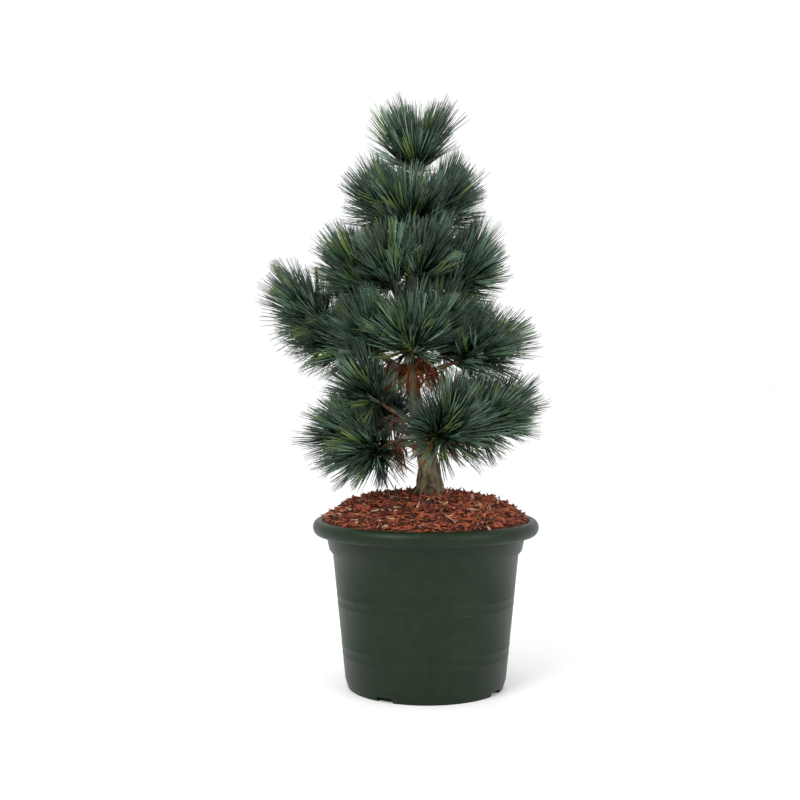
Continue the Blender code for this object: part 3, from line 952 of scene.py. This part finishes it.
    def build_needles(self) -> list[bpy.types.Object]:
        """Builds the needles, a piece for each tint and each batch.

        Returns:
            The pieces.
        """
        rng = random.Random(SEED + 1)
        dealt: dict[Tint, list[Sheaf]] = {tint: [] for tint in Tint}
        tints, shares = tuple(self.tint_shares), tuple(self.tint_shares.values())
        for sheaf in self.live_sheaves():
            dealt[rng.choices(tints, shares)[0]].append(sheaf)
        low = [bough for bough in BOUGHS if bough.limb and bough.height < self.dead_below]
        for _sheaf in range(self.dead_sheaves):
            dealt[Tint.RUST].append(self.dead_sheaf(limb_points(rng.choice(low)), rng))
        batch = self.most_in_piece // self.needles_in_sheaf
        pieces = []
        for tint, sheaves in dealt.items():
            material = NeedleFinish(tint).material()
            for start in range(0, len(sheaves), batch):
                name = f"needles_{tint.name.lower()}_{start // batch + 1}"
                scatter = Scatter(name, needle_part())
                for sheaf in sheaves[start : start + batch]:
                    self.add_sheaf(scatter, sheaf, rng)
                pieces.append(new_piece(name, scatter.mesh(material), material))
        return pieces

    def twig_mesh(self, line: Polyline) -> bpy.types.Mesh:
        """Builds the bark of one shoot."""
        fine = denser(line, self.twig_steps)
        return tapered_limb("twig", fine, self.twig_base_mm, self.twig_taper_mm, self.twig_skin)

    def bud_mesh(self, line: Polyline) -> bpy.types.Mesh:
        """Builds the bud at a shoot's tip.

        Args:
            line: The shoot.

        Returns:
            Its mesh.
        """
        along = (line[-1] - line[-2]).normalized()
        steps = range(len(self.bud_radii_mm))
        bud = [line[-1] + along * (step * self.bud_step_mm * MM) for step in steps]
        radii = [radius * MM for radius in self.bud_radii_mm]
        return rings_mesh("bud", tube_rings(bud, radii, self.bud_skin))

    def build_twigs(self) -> None:
        """Builds the shoots and the bud at each tip."""
        twigs, buds = [], []
        for lines in self.shoots.values():
            twigs += [self.twig_mesh(line) for line in lines]
            buds += [self.bud_mesh(line) for line in lines[1:]]
        new_piece("twigs", joined("twigs", twigs), SHOOT_BARK.material())
        new_piece("buds", joined("buds", buds), BUD_SCALE.material())

    def build(self) -> None:
        """Builds the crown and lets it stand for the masses of needles."""
        self.grow()
        pieces = self.build_needles()
        self.build_twigs()
        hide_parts(*(f"foliage_{bough.name}" for bough in BOUGHS))


@dataclass
class Timber:
    """The trunk, its surface root and its boughs, with the bark's relief.

    sunk is how far the trunk's foot goes into the mulch, and crowding gathers its rings there.
    """

    rings: int = 150
    crowding: float = 1.2
    sunk: float = 7 * MM
    trunk_skin: Skin = Skin(44, 0.16, 9 * MM)
    root_points: int = 25
    root_span: float = 34.0 * MM
    root_rise: float = 14.0 * MM
    root_radius: float = 3.0 * MM
    root_lift: float = 0.3
    root_skin: Skin = Skin(12, 0.12, 5 * MM)
    limb_base_mm: float = 4.4
    limb_taper_mm: float = 1.4
    limb_steps: int = 10
    limb_skin: Skin = Skin(14, 0.15, 6 * MM)

    def trunk_mesh(self) -> bpy.types.Mesh:
        """Builds the trunk.

        Returns:
            Its mesh.
        """
        whole = TRUNK_STATIONS[-1][Station.HEIGHT] + self.sunk
        shares = [index / (self.rings - 1) for index in range(self.rings)]
        heights = [whole * share**self.crowding - self.sunk for share in shares]
        line = [trunk_point(height) for height in heights]
        radii = [smooth_value(Station.RADIUS, height) for height in heights]
        return rings_mesh("trunk", tube_rings(line, radii, self.trunk_skin))

    def root_mesh(self) -> bpy.types.Mesh:
        """Builds the arch of root beside the trunk's foot.

        Returns:
            Its mesh.
        """
        near = -(TRUNK_STATIONS[0][Station.RADIUS] + self.root_radius + 2 * GAP)
        middle = trunk_point(0.0)
        middle += Vector((0.0, near, self.root_radius * self.root_lift))
        swing = 0.5 * (self.root_span - 2 * self.root_radius)
        line = []
        for index in range(self.root_points):
            angle = math.pi * index / (self.root_points - 1)
            rise = self.root_rise * math.sin(angle)
            line.append(middle + Vector((-swing * math.cos(angle), 0.0, rise)))
        return rings_mesh("root", tube_rings(line, [self.root_radius] * len(line), self.root_skin))

    def bough_meshes(self) -> list[bpy.types.Mesh]:
        """Builds every limb.

        Returns:
            Their meshes.
        """
        return [
            tapered_limb(
                "bough",
                denser(limb_points(bough), self.limb_steps),
                self.limb_base_mm,
                self.limb_taper_mm,
                self.limb_skin,
            )
            for bough in BOUGHS
            if bough.limb
        ]

    def build(self) -> None:
        """Builds the timber and lets it stand for the solids."""
        mesh = joined("timber", [self.trunk_mesh(), self.root_mesh(), *self.bough_meshes()])
        piece = new_piece("timber", mesh, PINE_BARK.material())
        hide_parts("trunk", "surface_root", *(f"bough_{b.name}" for b in BOUGHS if b.limb))


@dataclass(frozen=True)
class Chips:
    """One shade of chips: its finish, how many there are, and how long against the others."""

    shade: str
    finish: Finish
    count: int
    stretch: float = 1.0


@dataclass
class Mulch:
    """The heap of shredded bark: a rough bed and the chips that lie on it.

    The bed is a cap that fills only the top of the pot, and settled is how far it lies under the
    surface that carries the chips. chip_slope and chip_face say how far the length and the width of
    a chip rise off the level.
    """

    edge_radius: float = 140.6 * MM
    edge_height: float = 227.0 * MM
    middle_radius: float = 2 * MM
    seat_radius: float = 30.0 * MM
    steepness: float = 2.7
    segments: int = 120
    rings: int = 34
    roughness: float = 3.2 * MM
    grain: float = 9 * MM
    settled: float = 1.2 * MM
    underside_radius: float = 134 * MM
    depth: float = 22 * MM
    chips: tuple[Chips, ...] = (
        Chips("red", CHIP_RED, 2300),
        Chips("dark", CHIP_DARK, 1500),
        Chips("pale", CHIP_PALE, 170, 1.3),
    )
    chip_margin: float = 4 * MM
    chip_lift_mm: tuple[float, float] = (-0.5, 2.2)
    chip_length_mm: tuple[float, float] = (7, 22)
    chip_width_mm: tuple[float, float] = (1.6, 5.0)
    chip_thickness_mm: tuple[float, float] = (0.7, 1.8)
    chip_slope: float = 0.28
    chip_face: float = 0.2

    def surface(self, radius: float) -> float:
        """Gives the heap's height.

        Args:
            radius: Distance from the middle.

        Returns:
            The height.
        """
        if radius <= self.seat_radius:
            return SOIL_TOP
        share = (radius - self.seat_radius) / (self.edge_radius - self.seat_radius)
        return self.edge_height + (SOIL_TOP - self.edge_height) * (1 - share**self.steepness)

    def ring(self, radius: float, height: float, rough: float) -> list[Vector]:
        """Makes one ring of the heap.

        Args:
            radius: Its radius.
            height: Its height before roughening.
            rough: How far the noise moves it.

        Returns:
            Its points.
        """
        points = []
        for angle in turns(self.segments):
            x, y = radius * math.cos(angle), radius * math.sin(angle)
            lift = rough * relief_at(Vector((x, y, 0)) / self.grain)
            points.append(Vector((x, y, height - self.settled + lift)))
        return points

    def bed_mesh(self) -> bpy.types.Mesh:
        """Builds the heap's rough body, closed by a flat underside within the pot.

        Returns:
            Its mesh.
        """
        span = self.edge_radius - self.middle_radius
        rings = []
        for step in range(self.rings + 1):
            radius = self.middle_radius + span * step / self.rings
            rings.append(self.ring(radius, self.surface(radius), self.roughness))
        rings.append(self.ring(self.underside_radius, self.edge_height - self.depth, 0.0))
        return rings_mesh("mulch_bed", rings, sharp=180.0)

    def add_chip(self, scatter: Scatter, stretch: float, rng: random.Random) -> None:
        """Drops one chip on the heap.

        Args:
            scatter: What it joins.
            stretch: How long its shade is against the others.
            rng: The random source.
        """
        radius = (self.edge_radius - self.chip_margin) * math.sqrt(rng.random())
        angle = rng.uniform(0, 2 * math.pi)
        x, y = radius * math.cos(angle), radius * math.sin(angle)
        place = Vector((x, y, self.surface(radius)))
        place.z += rng.uniform(*self.chip_lift_mm) * MM
        aim = Vector((rng.gauss(0, 1), rng.gauss(0, 1), rng.gauss(0, self.chip_slope)))
        length = rng.uniform(*self.chip_length_mm) * MM * stretch
        wide = rng.uniform(*self.chip_width_mm) * MM
        thick = rng.uniform(*self.chip_thickness_mm) * MM
        face = Vector((rng.gauss(0, 1), rng.gauss(0, 1), self.chip_face))
        scatter.add(place, aim.normalized(), face.normalized(), Vector((wide, thick, length)))

    def build(self) -> None:
        """Builds the heap and its chips."""
        bed = new_piece("mulch_bed", self.bed_mesh(), MULCH_BED.material())
        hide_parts("soil")
        rng = random.Random(SEED + 2)
        for chips in self.chips:
            scatter = Scatter(f"mulch_{chips.shade}", chip_part())
            for _chip in range(chips.count):
                self.add_chip(scatter, chips.stretch, rng)
            material = chips.finish.material()
            new_piece(scatter.name, scatter.mesh(material), material)


@dataclass
class Pot:
    """The nursery pot, turned from a profile, with its drainage notches cut out.

    outside_mm is the outer wall: foot, heel, top of the wall, foot and top of the collar. bands are
    the heights of the faint rings on it. The lip is an ellipse in section, whose skin runs from
    curl_end, in degrees under the level outside, over its top to the level inside.
    """

    wall: float = 2.4 * MM
    segments: int = 160
    outside_mm: tuple[tuple[float, float], ...] = (
        (107.0, 0.0), (110.8, 12.0), (127.6, 183.0), (132.6, 189.0), (136.6, 208.0),
    )
    bands: tuple[float, ...] = (0.047, 0.060, 0.116, 0.128)
    band_half: float = 0.8 * MM
    band_relief: float = 0.35 * MM
    lip_radius: float = 155.0 * MM
    lip_top: float = 230.0 * MM
    lip_half: tuple[float, float] = (8.6 * MM, 10.4 * MM)
    lip_points: int = 25
    curl_end: float = -58.0
    notch_azimuths: tuple[int, ...] = (239, 329, 59, 149)
    notch_width: float = 24.0 * MM
    notch_height: float = 6.0 * MM
    notch_reach: float = 16.0 * MM

    def wall_line(self) -> list[tuple[float, float]]:
        """Gives the outer wall with its faint bands.

        Returns:
            Radius and height of each point, from the foot up.
        """
        line = [(radius * MM, height * MM) for radius, height in self.outside_mm]
        low, high = line[1], line[2]
        banded = []
        for band in self.bands:
            share = (band - low[1]) / (high[1] - low[1])
            radius = low[0] + (high[0] - low[0]) * share
            banded += [
                (radius, band - self.band_half),
                (radius + self.band_relief, band),
                (radius, band + self.band_half),
            ]
        return [line[0], line[1], *banded, *line[2:]]

    def lip_line(self, inset: float) -> list[tuple[float, float]]:
        """Gives the rolled lip from its curl's end over the top to its inner edge.

        Args:
            inset: How far inside the lip's outer skin the line runs.

        Returns:
            Radius and height of each point.
        """
        middle = (self.lip_radius - self.lip_half[0], self.lip_top - self.lip_half[1])
        wide, tall = self.lip_half[0] - inset, self.lip_half[1] - inset
        line = []
        for step in range(self.lip_points):
            swing = (180 - self.curl_end) * step / (self.lip_points - 1)
            angle = math.radians(self.curl_end + swing)
            line.append((middle[0] + wide * math.cos(angle), middle[1] + tall * math.sin(angle)))
        return line

    def shell_mesh(self) -> bpy.types.Mesh:
        """Turns the whole profile, before the notches are cut.

        Returns:
            The closed mesh.
        """
        outer = self.wall_line()
        inner = [(radius - self.wall, max(height, self.wall)) for radius, height in outer]
        lip = [*reversed(self.lip_line(self.wall)), *self.lip_line(0.0)]
        angles = turns(self.segments)
        rings = [
            [Vector((radius * math.cos(a), radius * math.sin(a), height)) for a in angles]
            for radius, height in [*outer, *lip, *reversed(inner)]
        ]
        return rings_mesh("pot_shell", rings, sharp=35.0)

    def notch_cutters(self) -> bpy.types.Mesh:
        """Builds the blocks that cut the notches.

        Returns:
            All of them in one mesh.
        """
        foot = self.outside_mm[0][0] * MM
        shape = bmesh.new()
        for azimuth in self.notch_azimuths:
            turn = math.radians(azimuth)
            for vert in bmesh.ops.create_cube(shape, size=1.0)["verts"]:
                along = foot + vert.co.x * self.notch_reach
                across = vert.co.y * self.notch_width
                vert.co = Vector((
                    along * math.cos(turn) - across * math.sin(turn),
                    along * math.sin(turn) + across * math.cos(turn),
                    vert.co.z * 2 * self.notch_height,
                ))
        blocks = bpy.data.meshes.new("notch_cutter")
        shape.to_mesh(blocks)
        shape.free()
        return blocks

    def build(self) -> None:
        """Builds the pot and lets it stand for its solid."""
        shell = linked("shell", self.shell_mesh())
        cutter = linked("cutter", self.notch_cutters())
        cut = shell.modifiers.new("notches", "BOOLEAN")
        cut.operation, cut.solver, cut.object = "DIFFERENCE", "EXACT", cutter
        material = POLYPROPYLENE.material()
        piece = new_piece("pot_shell", baked(shell, cutter), material)
        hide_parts("pot")


@dataclass(frozen=True)
class Lamp:
    """A soft square light: where it hangs, its side in metres and its power in watts."""

    name: str
    place: tuple[float, float, float]
    size: float
    power: float


@dataclass(frozen=True)
class Studio:
    """The camera, the pale floor and the soft lights.

    The camera's place and focal length are one choice along the range that fits the photograph.
    """

    distance: float = 1.636
    height: float = 0.429
    aside: float = -0.0353
    pitch: float = -1.26
    focal_pixels: float = 1190.0
    picture_pixels: float = 800.0
    sensor_mm: float = 36.0
    floor_half: float = 40.0
    white: str = "#ffffff"
    sky_strength: float = 1.0
    aim: tuple[float, float, float] = (0.0, 0.0, 0.4)
    lamps: tuple[Lamp, ...] = (
        Lamp("key", (-1.4, -1.8, 2.0), 1.4, 46),
        Lamp("fill", (1.8, -1.5, 1.2), 1.6, 22),
    )

    def add_camera(self) -> None:
        """Adds the camera at the photograph's viewpoint."""
        lens = bpy.data.cameras.new("camera")
        lens.sensor_width = self.sensor_mm
        lens.lens = self.sensor_mm * self.focal_pixels / self.picture_pixels
        camera = linked("camera", lens)
        camera.location = (self.aside, -self.distance, self.height)
        camera.rotation_euler = (math.radians(90 + self.pitch), 0.0, 0.0)
        bpy.context.scene.camera = camera

    def add_lamp(self, lamp: Lamp) -> None:
        """Adds a light that looks at the plant.

        Args:
            lamp: The light.
        """
        data = bpy.data.lights.new(lamp.name, "AREA")
        data.size = lamp.size
        data.energy = lamp.power
        light = linked(lamp.name, data)
        light.location = lamp.place
        way = Vector(self.aim) - Vector(lamp.place)
        light.rotation_euler = way.to_track_quat("-Z", "Y").to_euler()

    def add_floor(self) -> None:
        """Adds the plain floor."""
        half = self.floor_half
        corners = [(-half, -half, 0), (half, -half, 0), (half, half, 0), (-half, half, 0)]
        mesh = bpy.data.meshes.new("floor")
        mesh.from_pydata(corners, [], [(0, 1, 2, 3)])
        floor = linked("floor", mesh)
        # White card: an even white that only the soft shadow marks.
        material = bpy.data.materials.new("pale_floor")
        material.use_nodes = True
        shader = material.node_tree.nodes["Principled BSDF"]
        shader.inputs["Base Color"].default_value = linear(self.white)
        mesh.materials.append(material)

    def add_sky(self) -> None:
        """Adds the even white light all round, and the view that keeps white white."""
        world = bpy.data.worlds.new("studio")
        world.use_nodes = True
        background = world.node_tree.nodes["Background"]
        background.inputs["Color"].default_value = linear(self.white)
        background.inputs["Strength"].default_value = self.sky_strength
        bpy.context.scene.world = world
        bpy.context.scene.view_settings.view_transform = "Standard"

    def build(self) -> None:
        """Builds the whole studio."""
        self.add_camera()
        self.add_floor()
        self.add_sky()
        for lamp in self.lamps:
            self.add_lamp(lamp)


def main() -> None:
    """Builds every sub-assembly in order."""
    logging.basicConfig(level=logging.INFO)
    for part in (Studio(), Pot(), Mulch(), Timber(), Crown()):
        LOG.info("building %s", type(part).__name__)
        part.build()


if __name__ == "__main__":
    main()
